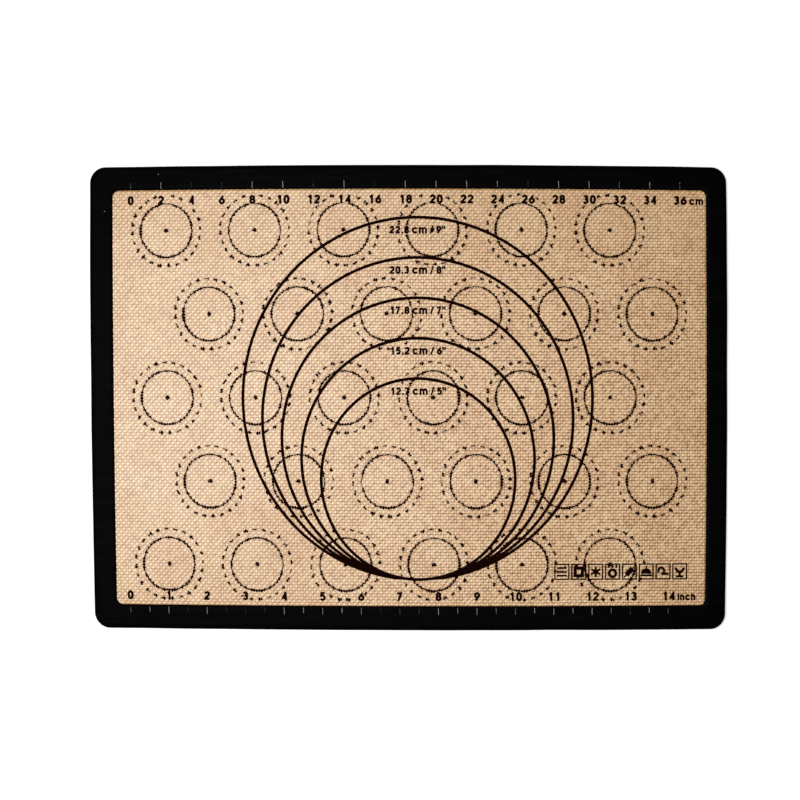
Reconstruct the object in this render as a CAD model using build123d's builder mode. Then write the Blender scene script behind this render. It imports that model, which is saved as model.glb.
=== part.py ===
from build123d import *
import math
import os

# A silicone baking mat, lying flat with its printed face up. The origin is at the
# middle of its underside, X runs along the rulers and Y towards the centimetre ruler.

# Mat outline
mat_length = 418.0
mat_width = 294.0
mat_corner_radius = 10.0

# Layers of the sheet, from the underside upwards: coat, cloth, coat
coat_thickness = 0.20
cloth_thickness = 0.30
cloth_margin = 2.0  # the cloth stops this far inside the rim

# Edge band, moulded round the margin of the cloth
band_width = 14.5
band_inner_radius = 4.0
band_rise = 0.20  # how far it stands above the top coat
rim_round = 0.30

# Ink films
ink_thickness = 0.05

# Lengths of the two rulers' units
centimetre_pitch = 10.0
inch_pitch = 25.4

# Rolling-out guide rings by their inches, all resting on one foot point
guide_centimetres = {5: "12.7", 6: "15.2", 7: "17.8", 8: "20.3", 9: "22.8"}
guide_line = 1.45
guide_foot_x = 5.5
guide_foot_rise = 17.9  # from the lower edge of the field
guide_horn_tip = 0.12  # width at which a ring's horn ends beside the smaller ring
guide_head_room = 2.0  # least space between the largest ring and the numbers above it

# Size labels, one under the top of each guide ring
label_height = 4.5
label_pen = 0.85
label_drop = 7.9  # from the ring's centreline to the middle of the label

# Cookie circles
cookie_radius = 16.9
cookie_line = 1.05
cookie_pitch_x = 58.0
cookie_pitch_y = 52.85
cookie_row_shift = 27.8  # between one row and the next
cookie_shift_x = 0.4
cookie_shift_y = 0.4
cookie_dot_diameter = 1.5

# Dashed spread circle round each cookie circle
spread_radius = 22.4
spread_line = 1.0
dash_count = 24
dash_gap = 2.9
dash_start_angle = 11.5  # of the first gap, in degrees

# Rulers: numbers inside the field, ticks outwards on the band
number_height = 5.4
number_pen = 1.10
number_drop = 7.0  # from the field's upper edge to the middle of the numbers
number_rise = 7.0  # from the field's lower edge to the middle of the numbers
centimetre_step = 2
centimetre_start = 12.6  # of the zero, from the left edge of the field
centimetre_tick = 4.5
inch_start = 9.7
inch_tick = 4.7
half_inch_tick = 3.7
tick_width = 0.5
tick_inset = 0.15  # from the band's inner edge
unit_room = 15.0  # kept after the last number
unit_gap = 1.9  # between the last number and the unit
centimetre_unit_height = 4.3
inch_unit_height = 4.1
unit_pen = 0.80

# Care symbols, a row of outlined squares
symbol_count = 8
symbol_width = 9.8
symbol_height = 10.1
symbol_pitch = 11.2
symbol_pen = 0.62
symbol_end_margin = 11.5  # from the right edge of the field to the last square
symbol_rise = 22.7  # from the lower edge of the field to the middle of the row

# Shares of a glyph's height between the middles of its top and bottom strokes
oval_half_width_share, oval_end_radius_share = 0.29, 0.24
upper_bowl_share, lower_bowl_share = 0.238, 0.274
six_bowl_share = 0.30
two_bowl_share, two_angle = 0.275, 47.0
five_bowl_share = 0.315
arch_radius_share = 0.36

# Shares of a glyph's full height
lower_case_share = 0.82
digit_cell_share = 0.86
cell_shares = {".": 0.42, " ": 0.27, "/": 0.64, '"': 0.50, "c": 0.94, "m": 1.42}
cell_shares.update({"i": 0.42, "n": 0.84, "h": 0.84})

field_length = mat_length - 2 * band_width
field_width = mat_width - 2 * band_width
field_top = 2 * coat_thickness + cloth_thickness
band_top = field_top + band_rise

os.makedirs("parts", exist_ok=True)


def save(part, name):
    part.label = name
    export_step(part, f"parts/{name}.step")


# Strokes of a pen of constant width, added to the sketch that is being made
def bar(pen, *points):
    with BuildLine() as path:
        Polyline(*points)
    trace(path.line, line_width=pen)


def bow(pen, centre, radius, start, sweep):
    with BuildLine() as path:
        CenterArc(centre, radius, start, sweep)
    trace(path.line, line_width=pen)


def oval(pen, tall):
    half_width = oval_half_width_share * tall
    end_radius = oval_end_radius_share * tall
    rise = tall / 2 - end_radius
    side_radius = (half_width**2 + rise**2 - end_radius**2) / (2 * (half_width - end_radius))
    lean = math.degrees(math.asin(rise / (side_radius - end_radius)))
    with BuildLine() as path:
        right = JernArc((2 * half_width, tall / 2), (0, 1), side_radius, lean)
        top = JernArc(right @ 1, right % 1, end_radius, 180 - 2 * lean)
        left = JernArc(top @ 1, top % 1, side_radius, 2 * lean)
        bottom = JernArc(left @ 1, left % 1, end_radius, 180 - 2 * lean)
        JernArc(bottom @ 1, bottom % 1, side_radius, lean)
    trace(path.line, line_width=pen)


def arch(pen, x, tall, foot):
    radius = arch_radius_share * tall
    with BuildLine() as path:
        curve = CenterArc((x + radius, tall - radius), radius, 180, -180)
        Line(curve @ 1, (x + 2 * radius, foot))
    trace(path.line, line_width=pen)
    return x + 2 * radius


# One glyph, its strokes' middles between y = 0 and y = tall
def draw_glyph(glyph, tall, low, pen):
    end = pen / 2
    if glyph == "0":
        oval(pen, tall)
    elif glyph == "1":
        bar(pen, (0.30 * tall, -end), (0.30 * tall, tall + end))
        bar(pen, (0.02 * tall, 0.78 * tall), (0.30 * tall, 0.97 * tall))
    elif glyph == "2":
        radius = two_bowl_share * tall
        angle = math.radians(two_angle)
        length = (tall - radius * (1 + math.cos(angle))) / math.sin(angle)
        bar(pen, (-end, 0), (0.62 * tall, 0))
        with BuildLine() as path:
            slope = PolarLine((0, 0), length, two_angle)
            JernArc(slope @ 1, slope % 1, radius, 208)
        trace(path.line, line_width=pen)
    elif glyph == "3":
        upper, lower = upper_bowl_share * tall, lower_bowl_share * tall
        bow(pen, (lower, tall - upper), upper, -100, 250)
        bow(pen, (lower, lower), lower, 100, -250)
    elif glyph == "4":
        bar(pen, (0.48 * tall, -end), (0.48 * tall, tall + end))
        bar(pen, (0.48 * tall, 0.96 * tall), (0.08 * tall, 0.26 * tall), (0.66 * tall, 0.26 * tall))
    elif glyph == "5":
        radius = five_bowl_share * tall
        bar(pen, (0.58 * tall, tall), (0.13 * tall, tall), (0.04 * tall, 0.50 * tall))
        bow(pen, (0.27 * tall, radius), radius, 140, -275)
    elif glyph in "69":
        radius = six_bowl_share * tall
        stem = ((0.50 * tall, tall + 0.4 * end), (0.085 * tall, 0.46 * tall))
        centre = (radius, radius)
        if glyph == "9":
            stem = [(2 * radius - x, tall - y) for x, y in stem]
            centre = (radius, tall - radius)
        with Locations(centre):
            Circle(radius + end)
        bar(pen, *stem)
        with Locations(centre):
            Circle(radius - end, mode=Mode.SUBTRACT)
    elif glyph == "7":
        bar(pen, (0, tall), (0.56 * tall, tall), (0.16 * tall, -end))
    elif glyph == "8":
        upper, lower = upper_bowl_share * tall, lower_bowl_share * tall
        for grow, mode in ((end, Mode.ADD), (-end, Mode.SUBTRACT)):
            with Locations((lower, tall - upper)):
                Circle(upper + grow, mode=mode)
            with Locations((lower, lower)):
                Circle(lower + grow, mode=mode)
    elif glyph == ".":
        bar(pen, (-end, 0), (end, 0))
    elif glyph == "/":
        bar(0.9 * pen, (0, -end), (0.42 * tall, tall + end))
    elif glyph == '"':
        for x in (0, 1.5 * pen):
            bar(0.8 * pen, (x, 0.70 * tall), (x, tall + end))
    elif glyph == "c":
        bow(pen, (low / 2, low / 2), low / 2, 45, 270)
    elif glyph == "i":
        bar(pen, (0, -end), (0, low + end))
        bar(pen, (-end, tall), (end, tall))
    elif glyph in "nmh":
        bar(pen, (0, -end), (0, (tall if glyph == "h" else low) + end))
        reach = arch(pen, 0, low, -end)
        if glyph == "m":
            arch(pen, reach, low, -end)


# The glyphs of one size of lettering, each with its left side and its cell's width
def make_glyphs(wanted, height, pen):
    glyphs = {}
    tall = height - pen
    low = lower_case_share * height - pen
    for glyph in sorted(set(wanted) - {" "}):
        with BuildSketch() as drawn:
            draw_glyph(glyph, tall, low, pen)
        size = drawn.sketch.bounding_box()
        glyphs[glyph] = (drawn.sketch, size.min.X, size.size.X)
    return glyphs


def cells(text, height):
    return [height * cell_shares.get(glyph, digit_cell_share) for glyph in text]


# Writes text with its left end at x and the middle of its capitals at y
def write(text, glyphs, height, pen, x, y):
    for glyph, cell in zip(text, cells(text, height)):
        if glyph != " ":
            drawn, left, width = glyphs[glyph]
            with Locations((x + (cell - width) / 2 - left, y - (height - pen) / 2)):
                add(drawn)
        x += cell


# Prints that later ones make way for
printed = []


def make_way():
    for earlier in printed:
        add(earlier, mode=Mode.SUBTRACT)


# Bottom coat
with BuildPart() as bottom_coat:
    with BuildSketch():
        RectangleRounded(field_length, field_width, band_inner_radius)
    extrude(amount=coat_thickness)
save(bottom_coat.part, "bottom_coat")

# Glass cloth, which runs on into the edge band
cloth_length = mat_length - 2 * cloth_margin
cloth_width = mat_width - 2 * cloth_margin
cloth_corner_radius = mat_corner_radius - cloth_margin
with BuildPart() as glass_cloth:
    with BuildSketch(Plane.XY.offset(coat_thickness)):
        RectangleRounded(cloth_length, cloth_width, cloth_corner_radius)
    extrude(amount=cloth_thickness)
save(glass_cloth.part, "glass_cloth")

# Top coat
with BuildPart() as top_coat:
    with BuildSketch(Plane.XY.offset(coat_thickness + cloth_thickness)):
        RectangleRounded(field_length, field_width, band_inner_radius)
    extrude(amount=coat_thickness)
save(top_coat.part, "top_coat")

# Edge band: a flat ring with a rounded rim and a slot that holds the cloth's margin
with BuildPart() as edge_band:
    with BuildSketch():
        RectangleRounded(mat_length, mat_width, mat_corner_radius)
    extrude(amount=band_top)
    rims = edges().group_by(Axis.Z)
    fillet(rims[0] + rims[-1], radius=rim_round)
    with BuildSketch():
        RectangleRounded(field_length, field_width, band_inner_radius)
    extrude(amount=band_top, mode=Mode.SUBTRACT)
    with BuildSketch(Plane.XY.offset(coat_thickness)):
        RectangleRounded(cloth_length, cloth_width, cloth_corner_radius)
    extrude(amount=cloth_thickness, mode=Mode.SUBTRACT)
save(edge_band.part, "edge_band")

# Guide rings, as many as the field has room for. The smallest is whole, and each
# larger one ends beside the one inside it.
guide_foot_y = guide_foot_rise - field_width / 2
guide_room = field_width - guide_foot_rise - number_drop - number_height / 2 - guide_head_room
guide_sizes = [size for size in guide_centimetres if size * inch_pitch + guide_line / 2 <= guide_room]
smaller = None
for size in guide_sizes:
    radius = size * inch_pitch / 2
    centre = (guide_foot_x, guide_foot_y + radius)
    with BuildPart() as guide_ring:
        with BuildSketch(Plane.XY.offset(field_top)) as ring_face:
            with Locations(centre):
                Circle(radius + guide_line / 2)
                Circle(radius - guide_line / 2, mode=Mode.SUBTRACT)
            if smaller:
                with Locations((guide_foot_x, guide_foot_y + smaller)):
                    Circle(smaller + guide_line / 2, mode=Mode.SUBTRACT)
                narrow = math.acos(1 - guide_horn_tip / (radius - smaller))
                half_cut = radius * math.sin(narrow)
                with Locations((guide_foot_x, guide_foot_y)):
                    Rectangle(2 * half_cut, 2 * guide_line, mode=Mode.SUBTRACT)
        extrude(amount=ink_thickness)
    save(guide_ring.part, f"guide_ring_{size}_inch")
    printed.append(ring_face.sketch)
    smaller = radius

# Ring labels, such as the size in centimetres, a slash and the size in inches
label_texts = {size: f'{guide_centimetres[size]} cm / {size}"' for size in guide_sizes}
label_glyphs = make_glyphs("".join(label_texts.values()), label_height, label_pen)
for size, text in label_texts.items():
    label_y = guide_foot_y + size * inch_pitch - label_drop
    label_x = guide_foot_x - sum(cells(text, label_height)) / 2
    with BuildPart() as ring_label:
        with BuildSketch(Plane.XY.offset(field_top)) as label_face:
            write(text, label_glyphs, label_height, label_pen, label_x, label_y)
            make_way()
        extrude(amount=ink_thickness)
    save(ring_label.part, f"ring_label_{size}_inch")
    printed.append(label_face.sketch)

# Ruler numbers, centred on their ticks, with the unit after the last one
number_glyphs = make_glyphs("0123456789", number_height, number_pen)
left_edge = -field_length / 2
centimetre_zero = left_edge + centimetre_start
inch_zero = left_edge + inch_start
last_centimetre = int((field_length - centimetre_start - unit_room) // centimetre_pitch)
last_centimetre -= last_centimetre % centimetre_step
last_inch = int((field_length - inch_start - unit_room) // inch_pitch)
centimetre_marks = range(0, last_centimetre + 1, centimetre_step)
centimetre_number_y = field_width / 2 - number_drop
inch_number_y = number_rise - field_width / 2


def write_numbers(marks, zero, scale, y, unit, unit_glyphs, unit_height):
    for mark in marks:
        half = sum(cells(str(mark), number_height)) / 2
        write(str(mark), number_glyphs, number_height, number_pen, zero + mark * scale - half, y)
    unit_x = zero + marks[-1] * scale + half + unit_gap - number_height * digit_cell_share / 6
    write(unit, unit_glyphs, unit_height, unit_pen, unit_x, y - (number_height - unit_height) / 2)


centimetre_unit = make_glyphs("cm", centimetre_unit_height, unit_pen)
with BuildPart() as centimetre_numbers:
    with BuildSketch(Plane.XY.offset(field_top)) as centimetre_face:
        write_numbers(
            centimetre_marks, centimetre_zero, centimetre_pitch, centimetre_number_y,
            "cm", centimetre_unit, centimetre_unit_height,
        )
        make_way()
    extrude(amount=ink_thickness)
save(centimetre_numbers.part, "centimetre_numbers")

inch_unit = make_glyphs("inch", inch_unit_height, unit_pen)
with BuildPart() as inch_numbers:
    with BuildSketch(Plane.XY.offset(field_top)) as inch_face:
        write_numbers(
            range(last_inch + 1), inch_zero, inch_pitch, inch_number_y,
            "inch", inch_unit, inch_unit_height,
        )
        make_way()
    extrude(amount=ink_thickness)
save(inch_numbers.part, "inch_numbers")
printed += [centimetre_face.sketch, inch_face.sketch]

# Ticks, on the band's upper face
with BuildPart() as centimetre_ticks:
    with BuildSketch(Plane.XY.offset(band_top)):
        tick_y = field_width / 2 + tick_inset + centimetre_tick / 2
        for mark in centimetre_marks:
            with Locations((centimetre_zero + mark * centimetre_pitch, tick_y)):
                Rectangle(tick_width, centimetre_tick)
    extrude(amount=ink_thickness)
save(centimetre_ticks.part, "centimetre_ticks")

with BuildPart() as inch_ticks:
    with BuildSketch(Plane.XY.offset(band_top)):
        for half_inch in range(2 * last_inch + 1):
            length = half_inch_tick if half_inch % 2 else inch_tick
            tick_y = -field_width / 2 - tick_inset - length / 2
            with Locations((inch_zero + half_inch * inch_pitch / 2, tick_y)):
                Rectangle(tick_width, length)
    extrude(amount=ink_thickness)
save(inch_ticks.part, "inch_ticks")


# Care symbols, each drawn about its square's middle in shares of its size
def draw_symbol(number, across, up):
    pen = symbol_pen
    if number == 0:  # oven shelves
        for share in (-0.24, 0.0, 0.24):
            bar(1.5 * pen, (-0.32 * across, share * up), (0.32 * across, share * up))
        bar(pen, (0.20 * across, 0.24 * up), (0.20 * across, 0.38 * up))
    elif number == 1:  # oven door and its window
        Rectangle(0.66 * across, 0.66 * up)
        Rectangle(0.30 * across, 0.30 * up, mode=Mode.SUBTRACT)
    elif number == 2:  # ice crystal
        for turn in (30, 90, 150):
            x = 0.34 * across * math.cos(math.radians(turn))
            y = 0.34 * across * math.sin(math.radians(turn))
            bar(1.6 * pen, (-x, -y), (x, y))
        Circle(0.17 * across)
    elif number == 3:  # plate under falling drops
        with Locations((0, -0.10 * up)):
            Circle(0.30 * across)
            Circle(0.15 * across, mode=Mode.SUBTRACT)
        for share in (-0.26, 0.0, 0.26):
            bar(1.6 * pen, (share * across, 0.25 * up), (share * across, 0.40 * up))
    elif number == 4:  # rolling pin
        bar(pen, (-0.36 * across, -0.36 * up), (0.36 * across, 0.36 * up))
        bar(5 * pen, (-0.20 * across, -0.20 * up), (0.20 * across, 0.20 * up))
    elif number == 5:  # dish cover
        bow(1.8 * pen, (0, -0.14 * up), 0.28 * across, 0, 180)
        Rectangle(0.44 * across, 0.26 * up)
        bar(1.6 * pen, (-0.38 * across, -0.24 * up), (0.38 * across, -0.24 * up))
        bar(pen, (0, 0.10 * up), (0, 0.34 * up))
    elif number == 6:  # the mat rolled up
        bow(1.8 * pen, (-0.12 * across, 0.04 * up), 0.20 * across, -90, 300)
        bar(1.8 * pen, (-0.12 * across, 0.04 * up - 0.20 * across), (0.38 * across, 0.04 * up - 0.20 * across))
    elif number == 7:  # bowl on a foot
        bow(2.2 * pen, (0, 0.22 * up), 0.26 * across, 180, 180)
        bar(1.8 * pen, (0, -0.04 * up), (0, -0.30 * up))
        bar(1.8 * pen, (-0.24 * across, -0.31 * up), (0.24 * across, -0.31 * up))


symbols = []
for number in range(symbol_count):
    with BuildSketch() as symbol:
        Rectangle(symbol_width, symbol_height)
        Rectangle(symbol_width - 2 * symbol_pen, symbol_height - 2 * symbol_pen, mode=Mode.SUBTRACT)
        draw_symbol(number, symbol_width, symbol_height)
    symbols.append(symbol.sketch)

symbol_y = symbol_rise - field_width / 2
last_symbol_x = field_length / 2 - symbol_end_margin - symbol_width / 2
with BuildPart() as care_symbols:
    with BuildSketch(Plane.XY.offset(field_top)) as symbol_row:
        for number, symbol in enumerate(symbols):
            symbol_x = last_symbol_x - (symbol_count - 1 - number) * symbol_pitch
            with Locations((symbol_x, symbol_y)):
                add(symbol)
        make_way()
    extrude(amount=ink_thickness)
save(care_symbols.part, "care_symbols")
printed.append(symbol_row.sketch)

# Cookie circles, as many as fit, every second row shifted sideways
spread_reach = spread_radius + spread_line / 2
columns = int((field_length - 2 * spread_reach - cookie_row_shift) // cookie_pitch_x) + 1
rows = int((field_width - 2 * spread_reach) // cookie_pitch_y) + 1
cookie_places = []
for row in range(rows):
    row_shift = cookie_shift_x + cookie_row_shift / 2 * (1 if row % 2 else -1)
    for column in range(columns):
        x = row_shift + (column - (columns - 1) / 2) * cookie_pitch_x
        y = cookie_shift_y + ((rows - 1) / 2 - row) * cookie_pitch_y
        cookie_places.append((x, y))

with BuildPart() as cookie_rings:
    with BuildSketch(Plane.XY.offset(field_top)):
        with Locations(*cookie_places):
            Circle(cookie_radius + cookie_line / 2)
            Circle(cookie_radius - cookie_line / 2, mode=Mode.SUBTRACT)
        make_way()
    extrude(amount=ink_thickness)
save(cookie_rings.part, "cookie_rings")

with BuildPart() as cookie_centre_dots:
    with BuildSketch(Plane.XY.offset(field_top)):
        with Locations(*cookie_places):
            Circle(cookie_dot_diameter / 2)
        make_way()
    extrude(amount=ink_thickness)
save(cookie_centre_dots.part, "cookie_centre_dots")

# Dashes: one ring with its gaps cut, repeated round every cookie circle
with BuildSketch() as dashed_ring:
    Circle(spread_radius + spread_line / 2)
    Circle(spread_radius - spread_line / 2, mode=Mode.SUBTRACT)
    with PolarLocations(spread_radius, dash_count, start_angle=dash_start_angle):
        Rectangle(2 * spread_line, dash_gap, mode=Mode.SUBTRACT)

with BuildPart() as cookie_spread_dashes:
    with BuildSketch(Plane.XY.offset(field_top)):
        with Locations(*cookie_places):
            add(dashed_ring.sketch)
        make_way()
    extrude(amount=ink_thickness)
save(cookie_spread_dashes.part, "cookie_spread_dashes")
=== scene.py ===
import math

import bmesh
import bpy
import numpy as np
from mathutils import Matrix, Vector, kdtree, noise


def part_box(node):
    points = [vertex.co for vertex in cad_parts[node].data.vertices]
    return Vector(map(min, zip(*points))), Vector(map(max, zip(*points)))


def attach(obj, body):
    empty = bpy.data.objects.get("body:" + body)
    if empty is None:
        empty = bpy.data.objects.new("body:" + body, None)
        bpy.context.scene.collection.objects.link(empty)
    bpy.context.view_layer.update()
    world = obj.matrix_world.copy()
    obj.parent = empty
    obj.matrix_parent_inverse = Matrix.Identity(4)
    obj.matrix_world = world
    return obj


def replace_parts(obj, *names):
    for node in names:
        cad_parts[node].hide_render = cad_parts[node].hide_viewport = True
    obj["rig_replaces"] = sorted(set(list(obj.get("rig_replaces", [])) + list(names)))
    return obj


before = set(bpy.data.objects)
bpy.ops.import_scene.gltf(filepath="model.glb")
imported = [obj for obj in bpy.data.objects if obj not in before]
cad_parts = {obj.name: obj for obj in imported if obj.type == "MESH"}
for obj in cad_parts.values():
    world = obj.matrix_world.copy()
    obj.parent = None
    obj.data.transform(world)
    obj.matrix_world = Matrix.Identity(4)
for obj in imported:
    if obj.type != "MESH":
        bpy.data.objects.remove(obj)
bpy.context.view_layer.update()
mm = 0.001

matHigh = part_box("edge_band")[1]
fieldLow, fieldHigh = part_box("top_coat")
clothLow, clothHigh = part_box("glass_cloth")
fieldTop = fieldHigh.z
bandTop = matHigh.z
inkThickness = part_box("guide_ring_5_inch")[1].z - fieldTop
guideSizes = (5, 6, 7, 8, 9)  # inches
print("Frame loaded,", len(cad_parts), "nodes")

# How far the limp mat is drawn in from its flat shape, at its ends and sides
drawn = {
    "ends": 1.72 * mm,
    "endsAtCorners": 1.08 * mm,
    "rightEnd": 0.70 * mm,
    "lowerEnds": 1.05 * mm,
    "slide": 0.26 * mm,
    "sides": 0.59 * mm,
    "sidesAtCorners": 1.50 * mm,
    "rightSides": 0.20 * mm,
    "lowerSide": 0.44 * mm,
    "droop": 0.20 * mm,
}

# Long low swells with which it lies on the table
swells = [
    {"lift": 0.22 * mm, "length": 310 * mm, "heading": 24, "start": 0.6},
    {"lift": 0.16 * mm, "length": 205 * mm, "heading": 108, "start": 2.1},
    {"lift": 0.10 * mm, "length": 148 * mm, "heading": -37, "start": 4.0},
]

# The square weave that shows through the coat
weave = {
    "warpPitch": 1.745 * mm,
    "weftPitch": 1.89 * mm,
    "relief": 0.05 * mm,  # of a crown over the gaps beside it
    "underBand": 1.2 * mm,  # how far the coats run under the band
    "soleGap": 0.02 * mm,  # how far the plain underside is set in from the band's
    "crossing": 0.2,  # how softly one yarn's tone gives way to the other's
}


# Shift of a point of the flat mat. It takes numbers, arrays and signals alike.
def drawIn(x, y):
    u = x / matHigh.x
    v = y / matHigh.y
    ends = drawn["ends"] * u * u + drawn["endsAtCorners"] * v * v
    sides = drawn["sides"] * v * v + drawn["sidesAtCorners"] * u * u
    droop = drawn["droop"] * u * (u + 1) * v * v
    return (
        u * (drawn["lowerEnds"] * v - drawn["rightEnd"] * u - ends) + drawn["slide"] * (1 - u * u),
        v * (drawn["lowerSide"] * v - drawn["rightSides"] * u - sides) - droop,
    )


def swell(x, y):
    height = 0.0
    for wave in swells:
        angle = math.radians(wave["heading"])
        along = x * math.cos(angle) + y * math.sin(angle)
        phase = 2 * math.pi * along / wave["length"] + wave["start"]
        height = height + wave["lift"] * (1 + np.sin(phase))
    return height


# Depth of the coat below its crowns, as a share: 0 on a crown, 1 in a gap
def gapDepth(x, y):
    u = x / weave["warpPitch"]
    v = y / weave["weftPitch"]
    return 2 * np.minimum(abs(u - np.round(u)), abs(v - np.round(v)))


# Height of the plain weave: 1 where a yarn comes over, 0 in the gaps
def yarnHeight(x, y):
    across = np.cos(math.pi * x / weave["warpPitch"])
    along = np.cos(math.pi * y / weave["weftPitch"])
    return np.maximum(abs(across) + across * along, abs(along) - across * along) / 2


def addPiece(name, points, faces, finish, replaced, smooth=False):
    mesh = bpy.data.meshes.new(name)
    mesh.from_pydata([tuple(point) for point in points], [], faces)
    mesh.validate()
    return placePiece(name, mesh, finish, replaced, smooth)


# Pieces are built flat, and here each is laid as the mat lies
def placePiece(name, mesh, finish, replaced, smooth=False):
    flat = np.empty(3 * len(mesh.vertices), np.float32)
    mesh.vertices.foreach_get("co", flat)
    x, y, z = flat.reshape(-1, 3).T.astype(float)
    shiftX, shiftY = drawIn(x, y)
    laid = np.stack([x + shiftX, y + shiftY, z + swell(x, y)], -1)
    mesh.vertices.foreach_set("co", laid.ravel().astype(np.float32))
    mesh.polygons.foreach_set("use_smooth", [smooth] * len(mesh.polygons))
    mesh.materials.clear()
    mesh.materials.append(finish)
    piece = bpy.data.objects.new(name, mesh)
    bpy.context.scene.collection.objects.link(piece)
    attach(piece, "root")
    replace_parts(piece, *replaced)
    return piece


# A socket that takes part in sums: each operator adds its Math node
class Signal:
    def __init__(self, recipe, socket):
        self.recipe = recipe
        self.socket = socket

    def __add__(self, other):
        return self.recipe.maths("ADD", self, other)

    def __radd__(self, other):
        return self.recipe.maths("ADD", other, self)

    def __sub__(self, other):
        return self.recipe.maths("SUBTRACT", self, other)

    def __rsub__(self, other):
        return self.recipe.maths("SUBTRACT", other, self)

    def __mul__(self, other):
        return self.recipe.maths("MULTIPLY", self, other)

    def __rmul__(self, other):
        return self.recipe.maths("MULTIPLY", other, self)

    def __truediv__(self, other):
        return self.recipe.maths("DIVIDE", self, other)

    def __pow__(self, other):
        return self.recipe.maths("POWER", self, other)

    def __abs__(self):
        return self.recipe.maths("ABSOLUTE", self)


# The node tree of a material or of the world
class Recipe:
    def __init__(self, owner):
        owner.use_nodes = True
        self.tree = owner.node_tree
        self.tree.nodes.clear()

    def node(self, kind, settings, sockets, output=0):
        made = self.tree.nodes.new("ShaderNode" + kind)
        for key, value in settings.items():
            setattr(made, key, value)
        for key, value in sockets.items():
            if isinstance(value, Signal):
                self.tree.links.new(value.socket, made.inputs[key])
            else:
                made.inputs[key].default_value = value
        return Signal(self, made.outputs[output]) if made.outputs else made

    def maths(self, operation, *values):
        return self.node("Math", {"operation": operation}, dict(enumerate(values)))

    # The point itself, and where it was on the flat mat
    def place(self):
        spot = self.node("TexCoord", {}, {}, "Object")
        x, y = (self.node("SeparateXYZ", {}, {0: spot}, axis) for axis in "XY")
        shiftX, shiftY = drawIn(x, y)
        return spot, x - shiftX, y - shiftY

    def noise(self, spot, size, detail=2):
        return self.node("TexNoise", {}, {"Vector": spot, "Scale": 1 / size, "Detail": detail})

    def ease(self, value, low, high, start=0.0, end=1.0):
        sockets = {"Value": value, 1: low, 2: high, 3: start, 4: end}
        return self.node("MapRange", {"interpolation_type": "SMOOTHSTEP"}, sockets)

    def mixColours(self, share, first, second):
        return self.node("Mix", {"data_type": "RGBA"}, {0: share, 6: first, 7: second}, 2)

    def bump(self, height, distance):
        return self.node("Bump", {}, {"Height": height, "Distance": distance})

    def surface(self, sockets):
        self.node("OutputMaterial", {}, {"Surface": self.node("BsdfPrincipled", {}, sockets)})


# The weave's height as nodes, the same formula as yarnHeight
def yarnSignal(recipe, x, y):
    across = recipe.maths("COSINE", x * (math.pi / weave["warpPitch"]))
    along = recipe.maths("COSINE", y * (math.pi / weave["weftPitch"]))
    over = across * along
    height = recipe.maths("MAXIMUM", abs(across) + over, abs(along) - over) * 0.5
    return height, over, abs(across) - abs(along)


# Yarns differ a little in tone, each along its whole length
def yarnTone(recipe, x, y, over):
    tones = []
    for axis, pitch in ((x, weave["warpPitch"]), (y, weave["weftPitch"])):
        number = recipe.maths("ROUND", axis / pitch)
        tones.append(recipe.node("TexWhiteNoise", {"noise_dimensions": "1D"}, {"W": number}))
    warpOver = recipe.ease(over, -weave["crossing"], weave["crossing"])
    return tones[1] + (tones[0] - tones[1]) * warpOver


# Each gap between the yarns is a little more or less open than the next
def holeDepth(recipe, x, y):
    column = recipe.maths("FLOOR", x / weave["warpPitch"])
    row = recipe.maths("FLOOR", y / weave["weftPitch"])
    cell = recipe.node("CombineXYZ", {}, {0: column, 1: row})
    return recipe.node("TexWhiteNoise", {"noise_dimensions": "2D"}, {"Vector": cell})


coatLook = {
    "crown": (0.880, 0.592, 0.300, 1),
    "gap": (0.215, 0.072, 0.002, 1),
    "tan": (0.790, 0.475, 0.215, 1),
    "tanPatch": 30 * mm,
    "tanFrom": 0.35,
    "tanTo": 0.70,
    "yarnTone": 0.22,  # how far a single yarn can turn to the tan
    "roughness": 0.45,
    "grainRoughness": 0.12,
    "gapRoughness": 0.15,
    "gloss": 0.10,
    "bump": 0.12 * mm,
    "grainBump": 0.15,
    "grain": 0.6 * mm,
    "grainShare": 0.35,  # how much the fine grain opens or closes the gaps, and likewise below
    "patch": 3.5 * mm,
    "patchShare": 0.5,
    "holeShare": 0.30,
    "gapLevel": 0.06,  # heights of the weave that look all gap and all crown
    "crownLevel": 0.90,
    "veiledCover": 0.60,  # painted sheen: what crowns and gaps are both drawn towards where the painted veil of the lamp's sheen lies
    "skin": 0.555,  # the smooth silicone over the weave, which veils it where it catches the lamp
    "skinRoughness": 0.27,
    "skinInGaps": 0.35,  # share of it left over a gap
    "uneven": 0.35 * mm,  # how far the yarns wander from their straight lines
    "unevenLength": 7 * mm,
    "rows": 0.11,  # painted shade: how much darker the gaps between rows are than those between columns, where the weft yarns shade them
    "paintedChecks": 0.20,  # painted shade: how much lighter the yarns look where one kind comes over the other
    "slant": 0.08,  # and how much more the light picks out one diagonal of them
    "paintedVeilLeft": 0.48,  # how far a painted veil of sheen hides the gaps at the mat's left end, along its top and elsewhere
    "leftFrom": -160 * mm,
    "leftTo": 110 * mm,
    "paintedVeilTop": 0.42,
    "topFrom": 70 * mm,
    "topTo": 125 * mm,
    "paintedVeil": 0.07,
}


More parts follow.
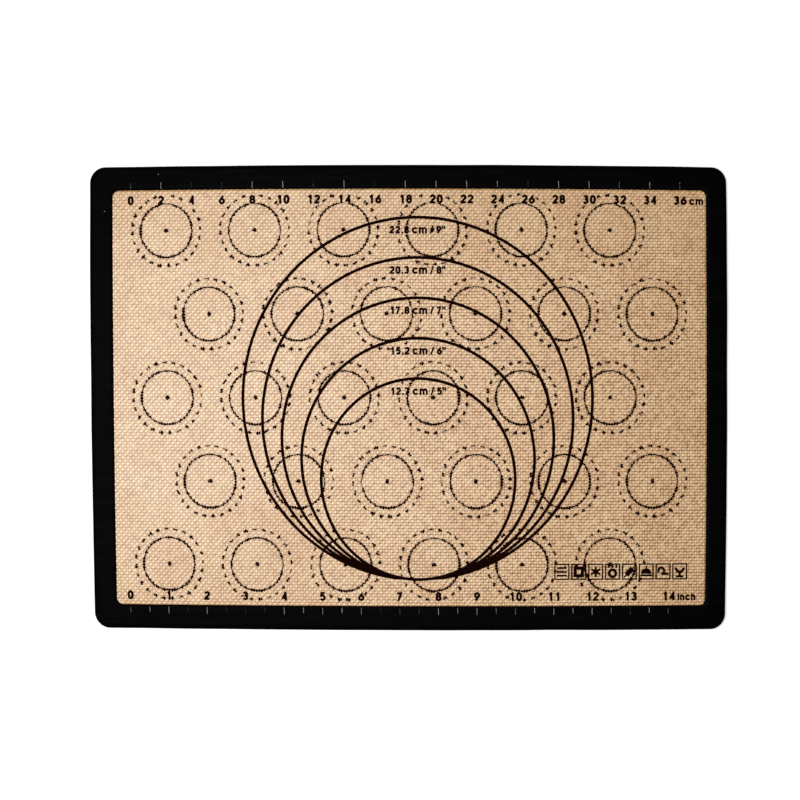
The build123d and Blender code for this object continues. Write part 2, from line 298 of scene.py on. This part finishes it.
def makeCoat():
    material = bpy.data.materials.new("wovenCoat")
    recipe = Recipe(material)
    spot, x, y = recipe.place()
    wander = (recipe.noise(spot, coatLook["unevenLength"]) - 0.5) * coatLook["uneven"]
    height, over, betweenRows = yarnSignal(recipe, x + wander, y - wander)
    tone = yarnTone(recipe, x, y, over)
    cloud = recipe.noise(spot, coatLook["tanPatch"], 3)
    patch = recipe.noise(spot, coatLook["patch"])
    grain = recipe.noise(spot, coatLook["grain"])
    cover = height + (grain - 0.5) * coatLook["grainShare"] + (patch - 0.5) * coatLook["patchShare"]
    cover = cover + (holeDepth(recipe, x, y) - 0.5) * coatLook["holeShare"]
    # Painted shading of the weave: one kind of crossing lighter than the other, and one diagonal picked
    # out as the light falls
    diagonal = x * (math.pi / weave["warpPitch"]) - y * (math.pi / weave["weftPitch"])
    paintedChecks = over * coatLook["paintedChecks"] + recipe.maths("COSINE", diagonal) * coatLook["slant"]
    # Painted sheen: the weave is veiled most at the left end and along the top, where the lamp's gloss
    # washes it out
    plain = coatLook["paintedVeil"]
    paintedVeilLeft = recipe.ease(x, coatLook["leftFrom"], coatLook["leftTo"], coatLook["paintedVeilLeft"], plain)
    paintedVeilTop = recipe.ease(y, coatLook["topFrom"], coatLook["topTo"], plain, coatLook["paintedVeilTop"])
    paintedVeil = recipe.maths("MAXIMUM", paintedVeilLeft, paintedVeilTop)
    # Painted shade in the gaps between the rows of the weave
    cover = cover - betweenRows * coatLook["rows"]
    cover = recipe.ease(cover, coatLook["gapLevel"], coatLook["crownLevel"])
    # The painted veil of sheen evens out crowns and gaps here, and the painted check shading is added
    cover = cover + (coatLook["veiledCover"] - cover) * paintedVeil + paintedChecks
    tanned = recipe.ease(cloud, coatLook["tanFrom"], coatLook["tanTo"])
    crown = recipe.mixColours(tanned, coatLook["crown"], coatLook["tan"])
    crown = recipe.mixColours(tone * coatLook["yarnTone"], crown, coatLook["tan"])
    colour = recipe.mixColours(cover, coatLook["gap"], crown)
    unevenGloss = (grain - 0.5) * coatLook["grainRoughness"]
    least = coatLook["skinInGaps"]
    recipe.surface({
        "Base Color": colour,
        "Roughness": coatLook["roughness"] + unevenGloss + (1 - cover) * coatLook["gapRoughness"],
        "Specular IOR Level": coatLook["gloss"],
        "Coat Weight": coatLook["skin"] * (least + cover * (1 - least)),
        "Coat Roughness": coatLook["skinRoughness"],
        "Normal": recipe.bump(height + grain * coatLook["grainBump"], coatLook["bump"]),
    })
    return material


bandLook = {
    "black": (0.0001, 0.0001, 0.0001, 1),
    "worn": (0.0012, 0.0012, 0.0012, 1),
    "lint": (0.30, 0.30, 0.28, 1),
    "lintPlaces": ((-163.5 * mm, 142.1 * mm), (-199.3 * mm, 118.9 * mm)),
    "lintSize": 0.45 * mm,
    "lintRim": 1.5,  # where a fleck ends and where it is full, in sizes
    "lintHeart": 0.7,
    "streak": 2.2 * mm,
    "streakStretch": 0.06,  # the smaller, the longer the streaks
    "wornFrom": 0.45,
    "wornTo": 0.75,
    "grain": 0.35 * mm,
    "roughness": 0.32,
    "grainRoughness": 0.2,
    "gloss": 0.0044,
    "bump": 0.05 * mm,
    "weaveBump": 0.3,
    "grainBump": 0.6,
}


def makeBand():
    material = bpy.data.materials.new("blackBand")
    recipe = Recipe(material)
    spot, x, y = recipe.place()
    height = yarnSignal(recipe, x, y)[0]
    long = recipe.node("Mapping", {}, {"Vector": spot, "Scale": (bandLook["streakStretch"], 1, 1)})
    streak = recipe.noise(long, bandLook["streak"], 3)
    grain = recipe.noise(spot, bandLook["grain"])
    worn = recipe.ease(streak, bandLook["wornFrom"], bandLook["wornTo"])
    colour = recipe.mixColours(worn, bandLook["black"], bandLook["worn"])
    size = bandLook["lintSize"]
    for lintX, lintY in bandLook["lintPlaces"]:
        away = ((x - lintX) ** 2 + (y - lintY) ** 2) ** 0.5 + grain * size
        lint = recipe.ease(away, bandLook["lintRim"] * size, bandLook["lintHeart"] * size)
        colour = recipe.mixColours(lint, colour, bandLook["lint"])
    relief = height * bandLook["weaveBump"] + grain * bandLook["grainBump"] + streak
    recipe.surface({
        "Base Color": colour,
        "Roughness": bandLook["roughness"] + (grain - 0.5) * bandLook["grainRoughness"],
        "Specular IOR Level": bandLook["gloss"],
        "Normal": recipe.bump(relief, bandLook["bump"]),
    })
    return material


inkLook = {
    "ink": (0.0065, 0.0009, 0.0003, 1),
    "bare": (0.24, 0.11, 0.035, 1),
    "roughness": 0.60,
    "grainRoughness": 0.2,
    "gloss": 0.006,
    "grain": 0.5 * mm,
    "grainShare": 0.5,
    "patch": 14 * mm,
    "patchShare": 0.3,
    "bump": 0.05 * mm,
    "grainBump": 0.4,
    "solidInk": {"bareTo": 0.02, "wholeFrom": 0.16, "bareShare": 0.15},
    "crownInk": {"bareTo": 0.04, "wholeFrom": 0.30, "bareShare": 0.45},
}


# Ink lies on the crowns. Where it is thin, the gaps of the weave stay bare: wholly
# below the height bareTo of the weave, and not at all above wholeFrom.
def makeInk(name):
    kind = inkLook[name]
    material = bpy.data.materials.new(name)
    recipe = Recipe(material)
    spot, x, y = recipe.place()
    height = yarnSignal(recipe, x, y)[0]
    grain = recipe.noise(spot, inkLook["grain"])
    patch = recipe.noise(spot, inkLook["patch"])
    level = height + (grain - 0.5) * inkLook["grainShare"] + (patch - 0.5) * inkLook["patchShare"]
    bare = recipe.ease(level, kind["wholeFrom"], kind["bareTo"])
    colour = recipe.mixColours(bare * kind["bareShare"], inkLook["ink"], inkLook["bare"])
    recipe.surface({
        "Base Color": colour,
        "Roughness": inkLook["roughness"] + (grain - 0.5) * inkLook["grainRoughness"],
        "Specular IOR Level": inkLook["gloss"],
        "Normal": recipe.bump(height + grain * inkLook["grainBump"], inkLook["bump"]),
    })
    return material


tickLook = {
    "pale": (0.48, 0.49, 0.48, 1),
    "bare": (0.004, 0.004, 0.004, 1),
    "stretch": 6.35 * mm,  # length of the ruler that wears alike
    "broken": 1.1 * mm,
    "weaveShare": 0.3,
    "stretchShare": 0.9,
    "bareTo": 0.75,
    "wholeFrom": 1.35,
    "roughness": 0.7,
    "gloss": 0.2,
}


def makeTickInk():
    material = bpy.data.materials.new("paleTickInk")
    recipe = Recipe(material)
    spot, x, y = recipe.place()
    height = yarnSignal(recipe, x, y)[0]
    tick = recipe.maths("ROUND", x / tickLook["stretch"])
    whole = recipe.node("TexWhiteNoise", {"noise_dimensions": "1D"}, {"W": tick})
    broken = recipe.noise(spot, tickLook["broken"])
    level = height * tickLook["weaveShare"] + broken + whole * tickLook["stretchShare"]
    cover = recipe.ease(level, tickLook["bareTo"], tickLook["wholeFrom"])
    recipe.surface({
        "Base Color": recipe.mixColours(cover, tickLook["bare"], tickLook["pale"]),
        "Roughness": tickLook["roughness"],
        "Specular IOR Level": tickLook["gloss"],
    })
    return material


clothLook = {
    "yarn": (0.80, 0.66, 0.48, 1),
    "gap": (0.42, 0.30, 0.18, 1),
    "roughness": 0.55,
    "bump": 0.12 * mm,
}


def makeCloth():
    material = bpy.data.materials.new("glassCloth")
    recipe = Recipe(material)
    spot, x, y = recipe.place()
    height = yarnSignal(recipe, x, y)[0]
    colour = recipe.mixColours(height, clothLook["gap"], clothLook["yarn"])
    recipe.surface({
        "Base Color": colour,
        "Roughness": clothLook["roughness"],
        "Normal": recipe.bump(height, clothLook["bump"]),
    })
    return material


coatFinish = makeCoat()
bandFinish = makeBand()
solidInk = makeInk("solidInk")
crownInk = makeInk("crownInk")
tickInk = makeTickInk()
clothFinish = makeCloth()
print("Finishes made")


# The four corners of each cell of a grid of points, and the points round its rim
def gridCells(wide, deep):
    for row in range(deep - 1):
        for column in range(wide - 1):
            corner = row * wide + column
            yield corner, corner + 1, corner + wide + 1, corner + wide


def gridRim(wide, deep):
    rim = list(range(wide))
    rim += [row * wide + wide - 1 for row in range(1, deep)]
    rim += [(deep - 1) * wide + column for column in range(wide - 2, -1, -1)]
    rim += [row * wide for row in range(deep - 2, 0, -1)]
    return rim


def gridPoints(gridX, gridY, level):
    return np.stack([gridX, gridY, np.full(gridX.shape, level)], -1).reshape(-1, 3)


# The underside of a grid and the walls round it, for points that start at sole
def gridUnderside(wide, deep, sole):
    faces = [tuple(sole + corner for corner in reversed(cell)) for cell in gridCells(wide, deep)]
    rim = gridRim(wide, deep)
    for first, second in zip(rim, rim[1:] + rim[:1]):
        faces.append((second, first, sole + first, sole + second))
    return faces


# Top coat: a crown at each crossing of two yarns and a gap in the middle of each
# square between them
def makeTopCoat():
    columns = int((fieldHigh.x + weave["underBand"]) / weave["warpPitch"])
    rows = int((fieldHigh.y + weave["underBand"]) / weave["weftPitch"])
    xs = np.arange(-columns, columns + 1) * weave["warpPitch"]
    ys = np.arange(-rows, rows + 1) * weave["weftPitch"]
    crowns = np.meshgrid(xs, ys)
    gaps = np.meshgrid((xs[1:] + xs[:-1]) / 2, (ys[1:] + ys[:-1]) / 2)
    points = [
        gridPoints(*crowns, fieldTop),
        gridPoints(*gaps, fieldTop - weave["relief"]),
        gridPoints(*crowns, fieldLow.z),
    ]
    wide, deep = len(xs), len(ys)
    gapStart = wide * deep
    faces = []
    for number, corners in enumerate(gridCells(wide, deep)):
        for first, second in zip(corners, corners[1:] + corners[:1]):
            faces.append((first, second, gapStart + number))
    faces += gridUnderside(wide, deep, gapStart + (wide - 1) * (deep - 1))
    points = np.concatenate(points)
    addPiece("top_coat_face", points, faces, coatFinish, ["top_coat"], True)


# Draws the corners of a grid in to a radius, which bends its lines there
def roundCorners(gridX, gridY, halfX, halfY, radius):
    pastX = np.maximum(abs(gridX) - (halfX - radius), 0)
    pastY = np.maximum(abs(gridY) - (halfY - radius), 0)
    reach = np.maximum(np.hypot(pastX, pastY), 1e-9)
    pull = np.maximum(pastX, pastY) / reach - 1
    return gridX + np.sign(gridX) * pastX * pull, gridY + np.sign(gridY) * pastY * pull


layers = {
    "sole": {"radius": 4 * mm, "cell": 4 * mm},
    "cloth": {"radius": 8 * mm, "cell": 2 * mm},
}


# A plain layer with rounded corners
def makeLayer(name, halfX, halfY, low, high, layer, finish, node):
    xs = np.linspace(-halfX, halfX, int(2 * halfX / layer["cell"]) + 1)
    ys = np.linspace(-halfY, halfY, int(2 * halfY / layer["cell"]) + 1)
    grid = roundCorners(*np.meshgrid(xs, ys), halfX, halfY, layer["radius"])
    points = np.concatenate([gridPoints(*grid, high), gridPoints(*grid, low)])
    wide, deep = len(xs), len(ys)
    faces = list(gridCells(wide, deep)) + gridUnderside(wide, deep, wide * deep)
    return addPiece(name, points, faces, finish, [node])


makeTopCoat()
bottomCoat = makeLayer(
    "bottom_coat_face", fieldHigh.x + weave["underBand"], fieldHigh.y + weave["underBand"],
    weave["soleGap"], clothLow.z, layers["sole"], coatFinish, "bottom_coat",
)
glassCloth = makeLayer(
    "woven_glass_cloth", clothHigh.x, clothHigh.y, clothLow.z, clothHigh.z,
    layers["cloth"], clothFinish, "glass_cloth",
)
print("Coats and cloth laid")

band = {
    "outerRadius": 10 * mm,
    "innerRadius": 4 * mm,
    "rimRound": 0.30 * mm,
    "innerRound": 0.08 * mm,
    "clothMargin": matHigh.x - clothHigh.x,
    "step": 0.85 * mm,
    "cornerSteps": 18,
    "ragged": 0.16 * mm,  # how far the inner edge creeps in and out
    "teeth": 0.40 * mm,  # how much further it runs between the yarns than over them
    "raggedLength": 1.3 * mm,
    "slowLength": 7 * mm,
    "slowShare": 0.6,
    "raggedFall": 12,  # how fast the creep dies away from the inner edge
    "rimWander": 0.20 * mm,
    "wanderLength": 38 * mm,
    "soleShares": (0.75, 0.5, 0.25),  # where the section has points across its faces
    "topShares": (0.2, 0.4, 0.6, 0.8),
    "innerShift": (0.73 * mm, 0.15 * mm),
    "innerTrim": 0.78 * mm,  # how much further the band reaches over its long sides
}


# Points of a rounded rectangle, with as many on each side and corner for any size
def outline(halfX, halfY, radius, sideSteps):
    points = []
    turns = [(1, -1, -90), (1, 1, 0), (-1, 1, 90), (-1, -1, 180)]
    for number, (right, up, start) in enumerate(turns):
        centre = np.array((right * (halfX - radius), up * (halfY - radius)))
        for step in range(band["cornerSteps"] + 1):
            angle = math.radians(start + 90 * step / band["cornerSteps"])
            points.append(centre + radius * np.array((math.cos(angle), math.sin(angle))))
        nextRight, nextUp, nextStart = turns[(number + 1) % 4]
        nextCentre = np.array((nextRight * (halfX - radius), nextUp * (halfY - radius)))
        angle = math.radians(nextStart)
        goal = nextCentre + radius * np.array((math.cos(angle), math.sin(angle)))
        last = points[-1]
        steps = sideSteps[number % 2]
        for step in range(1, steps):
            points.append(last + (goal - last) * step / steps)
    return np.array(points)


# The band's section, from the underside outwards and over the top: how far in from
# the rim each point is, and its height
def bandSection(width):
    rim, inner = band["rimRound"], band["innerRound"]
    points = []
    for share in band["soleShares"]:
        points.append((share * width, 0))
    for turn in (-90, -60, -30, 0):
        angle = math.radians(turn)
        points.append((rim - rim * math.cos(angle), rim + rim * math.sin(angle)))
    for turn in (0, 30, 60, 90):
        angle = math.radians(turn)
        points.append((rim - rim * math.cos(angle), bandTop - rim + rim * math.sin(angle)))
    for share in band["topShares"]:
        points.append((share * width, bandTop))
    for turn in (90, 45, 0):
        angle = math.radians(turn)
        inset = width - inner + inner * math.cos(angle)
        points.append((inset, bandTop - inner + inner * math.sin(angle)))
    margin = band["clothMargin"]
    points += [(width, clothHigh.z), (margin, clothHigh.z), (margin, clothLow.z), (width, clothLow.z)]
    points.append((width, 0))
    return points


def makeBandPiece():
    width = matHigh.x - fieldHigh.x
    sideSteps = [int(2 * matHigh.y / band["step"]), int(2 * matHigh.x / band["step"])]
    outer = outline(matHigh.x, matHigh.y, band["outerRadius"], sideSteps)
    inner = outline(fieldHigh.x, fieldHigh.y - band["innerTrim"], band["innerRadius"], sideSteps)
    inner = inner + band["innerShift"]
    section = bandSection(width)
    inward = (inner - outer) / np.linalg.norm(inner - outer, axis=1)[:, None]
    points = []
    for rimPoint, innerPoint, way in zip(outer, inner, inward):
        place = Vector((*rimPoint, 0))
        wander = band["rimWander"] * noise.noise(place / band["wanderLength"])
        creep = noise.noise(place / band["raggedLength"])
        creep = creep + band["slowShare"] * noise.noise(place / band["slowLength"])
        creep = band["ragged"] * creep + band["teeth"] * (0.5 - yarnHeight(*innerPoint))
        for inset, height in section:
            share = inset / width
            spot = rimPoint + (innerPoint - rimPoint) * share
            spot = spot + way * (wander * (1 - share) + creep * share ** band["raggedFall"])
            points.append((spot[0], spot[1], height))
    count = len(section)
    turns = len(outer)
    faces = []
    for turn in range(turns):
        here, there = turn * count, (turn + 1) % turns * count
        for number in range(count):
            after = (number + 1) % count
            faces.append((here + number, there + number, there + after, here + after))
    addPiece("black_edge_band", points, faces, bandFinish, ["edge_band"], True)


makeBandPiece()
print("Edge band moulded")


# A ring or an arc of ink, from its inner and outer radius at each angle and the height
# of its film over the crowns. Its section has a foot, an edge, a middle, an edge and a foot.
def inkRibbon(points, faces, centre, angles, inner, outer, film, follow, closed):
    first = len(points)
    count = 5
    middle = (inner + outer) / 2
    sunk = fieldTop - 2 * weave["relief"]
    for angle, low, high, mid in zip(angles, inner, outer, middle):
        ray = (math.cos(angle), math.sin(angle))
        for number, reach in enumerate((low, low, mid, high, high)):
            x, y = centre[0] + reach * ray[0], centre[1] + reach * ray[1]
            top = fieldTop + film - follow * weave["relief"] * gapDepth(x, y)
            z = sunk if number in (0, count - 1) else top
            points.append((x, y, z))
    steps = len(angles)
    for step in range(steps if closed else steps - 1):
        here, there = first + count * step, first + count * ((step + 1) % steps)
        for number in range(count):
            after = (number + 1) % count
            faces.append((here + number, here + after, there + after, there + number))
    if not closed:
        last = first + count * (steps - 1)
        faces.append(tuple(first + number for number in reversed(range(count))))
        faces.append(tuple(last + number for number in range(count)))


# Every line is a little wider than its film in the frame, as ink runs along the yarns
guide = {
    "line": 1.45 * mm,
    "run": 0.25 * mm,
    "tip": 0.12 * mm,  # width of a ring's end, beside the ring inside it
    "step": 0.9 * mm,
    "tries": 20000,  # turns at which the end of a ring is looked for
    "follow": 0.2,  # how far the film follows the gaps of the weave
}


# How far a circle reaches from a point that lies apart from its centre, at each turn
def circleReach(turns, apart, radius):
    return apart * np.cos(turns) + np.sqrt(radius**2 - (apart * np.sin(turns)) ** 2)


# Guide rings: the smallest is whole, and each larger one ends beside the one inside it
def makeGuideRings():
    smaller = None
    half = guide["line"] / 2
    for size in guideSizes:
        low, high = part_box(f"guide_ring_{size}_inch")
        radius = (high.x - low.x) / 2 - half
        centre = ((low.x + high.x) / 2, high.y - half - radius)
        steps = int(2 * math.pi * radius / guide["step"])
        if smaller:
            apart = radius - smaller
            turns = np.linspace(0, math.pi, guide["tries"])
            reach = circleReach(turns, apart, smaller + half)
            end = turns[np.argmax(reach < radius + half - guide["tip"])]
            turns = np.linspace(end, 2 * math.pi - end, steps)
            inner = np.maximum(radius - half, circleReach(turns, apart, smaller + half))
        else:
            turns = np.linspace(0, 2 * math.pi, steps, endpoint=False)
            inner = np.full(steps, radius - half)
        points, faces = [], []
        inkRibbon(
            points, faces, centre, turns - math.pi / 2, inner - guide["run"],
            np.full(steps, radius + half + guide["run"]), inkThickness, guide["follow"], smaller is None,
        )
        node = f"guide_ring_{size}_inch"
        addPiece(f"guide_line_{size}_inch", points, faces, solidInk, [node])
        smaller = radius


cookie = {
    "radius": 16.9 * mm,
    "line": 1.88 * mm,
    "pitchX": 58.0 * mm,
    "pitchY": 52.85 * mm,
    "rowShift": 27.8 * mm,
    "columns": 6,
    "rows": 5,
    "dot": 3.6 * mm,
    "spreadRadius": 22.4 * mm,
    "spreadLine": 2.45 * mm,
    "dashes": 24,
    "firstDash": 4.0,  # degrees, as are the two below
    "dashTurn": 7.6,
    "dashSway": 0.4,
    "dashLengths": (0.82, 1.12),
    "dashLines": (0.80, 1.12),
    "dashTaper": 0.16,  # share of a half turn cut from each end of its sine
    "dashSeed": 24,
    "steps": 260,
    "dashSteps": 9,
    "dotStretch": (0.85, 1.2),
    "dotSides": 20,
    "dotLeast": 0.45,
    "dotSpread": 0.65,
    "dotSeed": 7,
    "ringFilm": 0.7,  # height of each film, in thicknesses of the guide rings' ink
    "dashFilm": 0.6,
    "dotFilm": 0.8,
    "follow": 0.8,
    "letterRoom": 1.1 * mm,  # nearer to lettering a ring is thin, and a dash left out
    "nearLetters": 0.4,
}


def cookiePlaces():
    low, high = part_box("cookie_rings")
    middle = (low + high) / 2
    for row in range(cookie["rows"]):
        shift = cookie["rowShift"] / 2 * (1 if row % 2 else -1)
        for column in range(cookie["columns"]):
            x = middle.x + shift + (column - (cookie["columns"] - 1) / 2) * cookie["pitchX"]
            y = middle.y + ((cookie["rows"] - 1) / 2 - row) * cookie["pitchY"]
            yield x, y


# The points of the lettering's outlines, for a quick search of the nearest
def makeLetterTree():
    spots = []
    labels = [f"ring_label_{size}_inch" for size in guideSizes]
    for node in ["centimetre_numbers", "inch_numbers"] + labels:
        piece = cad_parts[node]
        spots += [piece.matrix_world @ point.co for point in piece.data.vertices]
    tree = kdtree.KDTree(len(spots))
    for number, spot in enumerate(spots):
        tree.insert((spot.x, spot.y, 0), number)
    tree.balance()
    return tree


letterTree = makeLetterTree()


beads = {
    "inGap": 0.14,  # share of a thin line's width left in a gap, and what a yarn adds
    "onYarn": 1.25,
    "sharpness": 1.5,
    "uneven": 0.25,
    "fine": 2.6 * mm,
    "coarse": 11 * mm,
    "least": 0.06,
    "apart": 50 * mm,  # above and below the mat, where the noise of a line's two sides is read
}


# How far a thin line spreads: into a bead on a yarn, and drawn in over a gap
def spread(x, y, place):
    spot = Vector((x, y, place))
    uneven = noise.noise(spot / beads["fine"]) + noise.noise(spot / beads["coarse"])
    bead = beads["onYarn"] * yarnHeight(x, y) ** beads["sharpness"]
    return max(beads["inGap"] + bead + beads["uneven"] * uneven, beads["least"])


def raggedSides(centre, angles, radius, line):
    sides = []
    for way in (-1, 1):
        reaches = []
        for angle in angles:
            x = centre[0] + (radius + way * line / 2) * math.cos(angle)
            y = centre[1] + (radius + way * line / 2) * math.sin(angle)
            half = line / 2 * spread(x, y, way * beads["apart"])
            if letterTree.find((x, y, 0))[2] < cookie["letterRoom"]:
                half = half * cookie["nearLetters"]
            reaches.append(radius + way * half)
        sides.append(np.array(reaches))
    return sides


def makeCookieRings():
    points, faces = [], []
    angles = np.linspace(0, 2 * math.pi, cookie["steps"], endpoint=False)
    for centre in cookiePlaces():
        inner, outer = raggedSides(centre, angles, cookie["radius"], cookie["line"])
        inkRibbon(
            points, faces, centre, angles, inner, outer,
            cookie["ringFilm"] * inkThickness, cookie["follow"], True,
        )
    addPiece("cookie_ring_lines", points, faces, crownInk, ["cookie_rings"])


def makeDashes():
    points, faces = [], []
    draw = np.random.default_rng(cookie["dashSeed"])
    radius = cookie["spreadRadius"]
    ends = cookie["dashTaper"] * math.pi
    taper = np.sin(np.linspace(ends, math.pi - ends, cookie["dashSteps"])) ** 0.5
    for centre in cookiePlaces():
        for number in range(cookie["dashes"]):
            sway = draw.uniform(-cookie["dashSway"], cookie["dashSway"])
            middle = cookie["firstDash"] + number * 360 / cookie["dashes"] + sway
            half = cookie["dashTurn"] / 2 * draw.uniform(*cookie["dashLengths"])
            angles = np.radians(np.linspace(middle - half, middle + half, cookie["dashSteps"]))
            line = cookie["spreadLine"] * draw.uniform(*cookie["dashLines"])
            way = math.radians(middle)
            x = centre[0] + radius * math.cos(way)
            y = centre[1] + radius * math.sin(way)
            if letterTree.find((x, y, 0))[2] < cookie["letterRoom"]:
                continue
            inner, outer = raggedSides(centre, angles, radius, line)
            inner = radius + (inner - radius) * taper
            outer = radius + (outer - radius) * taper
            inkRibbon(
                points, faces, centre, angles, inner, outer,
                cookie["dashFilm"] * inkThickness, cookie["follow"], False,
            )
    addPiece("cookie_spread_marks", points, faces, crownInk, ["cookie_spread_dashes"])


def makeDots():
    points, faces = [], []
    draw = np.random.default_rng(cookie["dotSeed"])
    sides = cookie["dotSides"]
    for centreX, centreY in cookiePlaces():
        first = len(points)
        stretch = draw.uniform(*cookie["dotStretch"])
        for level in (fieldTop - 2 * weave["relief"], fieldTop + cookie["dotFilm"] * inkThickness):
            for side in range(sides):
                angle = 2 * math.pi * side / sides
                x, y = math.cos(angle) * stretch, math.sin(angle) / stretch
                rim = (centreX + x * cookie["dot"] / 2, centreY + y * cookie["dot"] / 2)
                reach = cookie["dot"] / 2 * (cookie["dotLeast"] + cookie["dotSpread"] * yarnHeight(*rim))
                points.append((centreX + x * reach, centreY + y * reach, level))
        for side in range(sides):
            after = (side + 1) % sides
            faces.append((first + side, first + after, first + sides + after, first + sides + side))
        faces.append(tuple(first + side for side in reversed(range(sides))))
        faces.append(tuple(first + sides + side for side in range(sides)))
    addPiece("cookie_dots", points, faces, crownInk, ["cookie_centre_dots"])


makeGuideRings()
makeCookieRings()
makeDashes()
makeDots()
print("Rings printed")

lettering = {
    "longest": 0.45 * mm,
    "run": 0.26 * mm,
    "signRun": 0.19 * mm,
    "tickRun": -0.24 * mm,  # the pale ink shrinks on the smooth band
    "ragged": 0.09 * mm,
    "patch": 0.9 * mm,
    "seed": 5,
    "weld": 0.0005 * mm,
    "cuts": 3,
    "steep": 0.5,  # least share of up or down that makes a face no wall
}


# Lettering and signs: the frame's own outlines, softened by the weave and laid on the mat
def printNode(name, node, finish, run):
    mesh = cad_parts[node].data.copy()
    mesh.name = name
    film = bmesh.new()
    film.from_mesh(mesh)
    bmesh.ops.remove_doubles(film, verts=film.verts, dist=lettering["weld"])
    film.normal_update()
    walls = {}
    for point in film.verts:
        normals = [face.normal for face in point.link_faces]
        walls[point] = [normal for normal in normals if abs(normal.z) < lettering["steep"]]
    for point, normals in walls.items():
        outward = sum(normals, Vector())
        if outward.length > 0:
            point.co += outward.normalized() * run
    long = [edge for edge in film.edges if edge.calc_length() > lettering["longest"]]
    bmesh.ops.subdivide_edges(film, edges=long, cuts=lettering["cuts"], use_grid_fill=True)
    for point in film.verts:
        shift = noise.noise_vector(Vector((point.co.x, point.co.y, 0)) / lettering["patch"])
        point.co.x += lettering["ragged"] * shift.x
        point.co.y += lettering["ragged"] * shift.y
    bmesh.ops.triangulate(film, faces=film.faces)
    film.to_mesh(mesh)
    film.free()
    placePiece(name, mesh, finish, [node])


noise.seed_set(lettering["seed"])
for size in guideSizes:
    node = f"ring_label_{size}_inch"
    printNode(f"guide_label_{size}_inch", node, solidInk, lettering["run"])
for unit in ("centimetre", "inch"):
    printNode(f"{unit}_figures", f"{unit}_numbers", solidInk, lettering["run"])
printNode("kitchen_signs", "care_symbols", solidInk, lettering["signRun"])
for unit in ("centimetre", "inch"):
    printNode(f"{unit}_tick_marks", f"{unit}_ticks", tickInk, lettering["tickRun"])
print("Lettering printed")

studio = {
    "floorSize": 60.0,
    "floorColour": (0.62, 0.62, 0.62, 1),
    "floorGlow": 0.62,
    "floorDrop": 0.1 * mm,  # below the mat, so that the two never share a plane
    "ambient": 0.225,
    "lamps": {
        "key": {"place": (-0.62, -0.04, 1.50), "size": 0.30, "power": 9.4},
        "fill": {"place": (-0.15, -0.02, 0.62), "size": 0.40, "power": 1.60},
    },
}


# 1 for what the camera sees directly, in a gloss or through something clear
def sightSignal(recipe):
    rays = [
        recipe.node("LightPath", {}, {}, name)
        for name in ("Is Camera Ray", "Is Glossy Ray", "Is Transmission Ray")
    ]
    return recipe.maths("MAXIMUM", recipe.maths("MAXIMUM", rays[0], rays[1]), rays[2])


def makeFloor():
    half = studio["floorSize"] / 2
    mesh = bpy.data.meshes.new("floor")
    corners = [(-half, -half), (half, -half), (half, half), (-half, half)]
    mesh.from_pydata([(x, y, -studio["floorDrop"]) for x, y in corners], [], [(0, 1, 2, 3)])
    floor = bpy.data.objects.new("floor", mesh)
    bpy.context.scene.collection.objects.link(floor)
    material = bpy.data.materials.new("paleFloor")
    recipe = Recipe(material)
    seen = sightSignal(recipe)
    matt = recipe.node("BsdfDiffuse", {}, {"Color": studio["floorColour"]})
    glow = recipe.node("Emission", {}, {"Color": (1, 1, 1, 1), "Strength": seen * studio["floorGlow"]})
    both = recipe.node("AddShader", {}, {0: matt, 1: glow})
    recipe.node("OutputMaterial", {}, {"Surface": both})
    mesh.materials.append(material)


def makeWorld():
    world = bpy.data.worlds.new("studio")
    bpy.context.scene.world = world
    recipe = Recipe(world)
    seen = sightSignal(recipe)
    strength = studio["ambient"] + (1 - studio["ambient"]) * seen
    glow = recipe.node("Background", {}, {"Color": (1, 1, 1, 1), "Strength": strength})
    recipe.node("OutputWorld", {}, {"Surface": glow})


def makeLamps():
    for name, wanted in studio["lamps"].items():
        light = bpy.data.lights.new(name, "AREA")
        light.shape = "DISK"
        light.size = wanted["size"]
        light.energy = wanted["power"]
        lamp = bpy.data.objects.new(name, light)
        lamp.location = wanted["place"]
        lamp.rotation_euler = (-Vector(wanted["place"])).to_track_quat("-Z", "Y").to_euler()
        bpy.context.scene.collection.objects.link(lamp)


# A long lens far away, which leans a little to the right of straight above
shot = {
    "leanRight": 15.231,  # degrees
    "leanUp": 1.095,
    "roll": 0.293,
    "aim": (-6.05 * mm, -1.08 * mm, 0.7 * mm),
    "distance": 16.777,  # metres
    "lens": 1200,  # millimetres, as is the sensor
    "sensor": 36,
    "nearest": 1.0,
    "farthest": 60.0,
}


def makeCamera():
    side, up, roll = (math.radians(shot[key]) for key in ("leanRight", "leanUp", "roll"))
    forward = Vector((-math.sin(side), -math.sin(up) * math.cos(side), -math.cos(up) * math.cos(side)))
    right = forward.cross(Vector((math.sin(roll), math.cos(roll), 0))).normalized()
    upward = right.cross(forward)
    data = bpy.data.cameras.new("camera")
    data.lens = shot["lens"]
    data.sensor_width = shot["sensor"]
    data.clip_start = shot["nearest"]
    data.clip_end = shot["farthest"]
    camera = bpy.data.objects.new("camera", data)
    turn = Matrix((right, upward, -forward)).transposed().to_4x4()
    camera.matrix_world = Matrix.Translation(Vector(shot["aim"]) - forward * shot["distance"]) @ turn
    bpy.context.scene.collection.objects.link(camera)
    bpy.context.scene.camera = camera


makeFloor()
makeWorld()
makeLamps()
makeCamera()
bpy.context.scene.view_settings.view_transform = "Standard"
print("Studio set")
